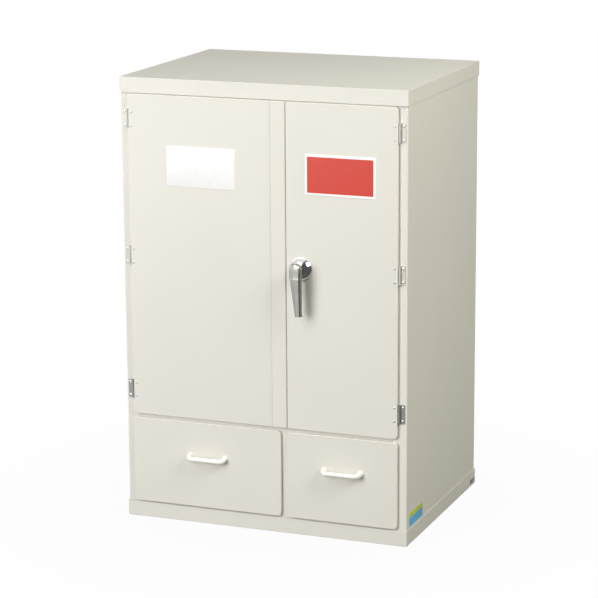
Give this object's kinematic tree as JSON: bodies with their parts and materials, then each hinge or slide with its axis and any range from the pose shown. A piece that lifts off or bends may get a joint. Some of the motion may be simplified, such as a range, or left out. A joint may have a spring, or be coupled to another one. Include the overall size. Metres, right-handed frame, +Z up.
{
  "type": "chemical storage cabinet",
  "caption": "Free-standing steel cabinet: hinged doors of unequal width with a lever handle close a shelved compartment over drawers set side by side.",
  "frame": {"origin": "centre of the base tray's flat underside", "axes": "+Z up, -Y out of the front, +X to the right seen from the front"},
  "size_m": [0.6, 0.4904, 0.9],
  "materials": {
    "ivory_paint": "semi-gloss ivory paint",
    "hinge_steel": "bright zinc",
    "screw_steel": "bright zinc",
    "galvanised_steel": "galvanised",
    "bolt_zinc": "zinc plated",
    "lever_satin": "satin die casting",
    "rosette_chrome": "polished chrome",
    "pull_plastic": "white moulding"
  },
  "bodies": {
    "cabinet": {"back_panel": "ivory_paint", "base_tray": "ivory_paint", "drawer_divider": "ivory_paint", "front_sill": "ivory_paint", "header_rail": "ivory_paint", "left_bottom_frame_leaf": "hinge_steel", "left_drawer_fixed_runners": "galvanised_steel", "left_frame_leaf_screws": "screw_steel", "left_hinge_pins": "hinge_steel", "left_middle_frame_leaf": "hinge_steel", "left_side_panel": "ivory_paint", "left_top_frame_leaf": "hinge_steel", "lower_shelf": "ivory_paint", "mid_rail": "ivory_paint", "middle_deck": "ivory_paint", "right_bottom_frame_leaf": "hinge_steel", "right_drawer_fixed_runners": "galvanised_steel", "right_frame_leaf_screws": "screw_steel", "right_hinge_pins": "hinge_steel", "right_middle_frame_leaf": "hinge_steel", "right_side_panel": "ivory_paint", "right_top_frame_leaf": "hinge_steel", "shelf_clips": "galvanised_steel", "shelf_standards": "galvanised_steel", "top_cap": "ivory_paint", "upper_shelf": "ivory_paint"},
    "left_door": {"bolt_guides": "bolt_zinc", "left_bottom_door_leaf": "hinge_steel", "left_door_leaf_screws": "screw_steel", "left_door_liner": "ivory_paint", "left_door_meeting_strip": "ivory_paint", "left_door_skin": "ivory_paint", "left_middle_door_leaf": "hinge_steel", "left_top_door_leaf": "hinge_steel"},
    "bottom_bolt": {"bottom_bolt": "bolt_zinc"},
    "lever": {"cam_nut": "screw_steel", "lever": "lever_satin", "lever_cam": "bolt_zinc", "lever_spindle": "screw_steel"},
    "left_drawer": {"left_drawer_backing": "ivory_paint", "left_drawer_box": "ivory_paint", "left_drawer_front": "ivory_paint", "left_drawer_moving_runners": "galvanised_steel", "left_drawer_pull": "pull_plastic", "left_drawer_pull_screws": "screw_steel"},
    "right_door": {"right_bottom_door_leaf": "hinge_steel", "right_door_leaf_screws": "screw_steel", "right_door_liner": "ivory_paint", "right_door_lock_plate": "bolt_zinc", "right_door_skin": "ivory_paint", "right_middle_door_leaf": "hinge_steel", "right_top_door_leaf": "hinge_steel", "rosette": "rosette_chrome"},
    "right_drawer": {"right_drawer_backing": "ivory_paint", "right_drawer_box": "ivory_paint", "right_drawer_front": "ivory_paint", "right_drawer_moving_runners": "galvanised_steel", "right_drawer_pull": "pull_plastic", "right_drawer_pull_screws": "screw_steel"},
    "top_bolt": {"top_bolt": "bolt_zinc"}
  },
  "joints": [
    {"name": "left_door_hinge", "type": "hinge", "parent": "cabinet", "child": "left_door", "pos_m": [-0.2835, -0.2238, 0.2177], "axis": [0, 0, -1], "range_deg": [0, 110]},
    {"name": "right_door_hinge", "type": "hinge", "parent": "cabinet", "child": "right_door", "pos_m": [0.2835, -0.2238, 0.2177], "axis": [0, 0, 1], "range_deg": [0, 110]},
    {"name": "lever_turn", "type": "hinge", "parent": "right_door", "child": "lever", "pos_m": [0.0826, -0.2275, 0.5414], "axis": [0, -1, 0], "range_deg": [0, 90]},
    {"name": "left_drawer_slide", "type": "slide", "parent": "cabinet", "child": "left_drawer", "axis": [0, -1, 0], "range_m": [0, 0.3]},
    {"name": "right_drawer_slide", "type": "slide", "parent": "cabinet", "child": "right_drawer", "axis": [0, -1, 0], "range_m": [0, 0.3]},
    {"name": "top_bolt_slide", "type": "slide", "parent": "left_door", "child": "top_bolt", "axis": [0, 0, 1], "range_m": [0, 0.012]},
    {"name": "bottom_bolt_slide", "type": "slide", "parent": "left_door", "child": "bottom_bolt", "axis": [0, 0, -1], "range_m": [0, 0.012]}
  ]
}
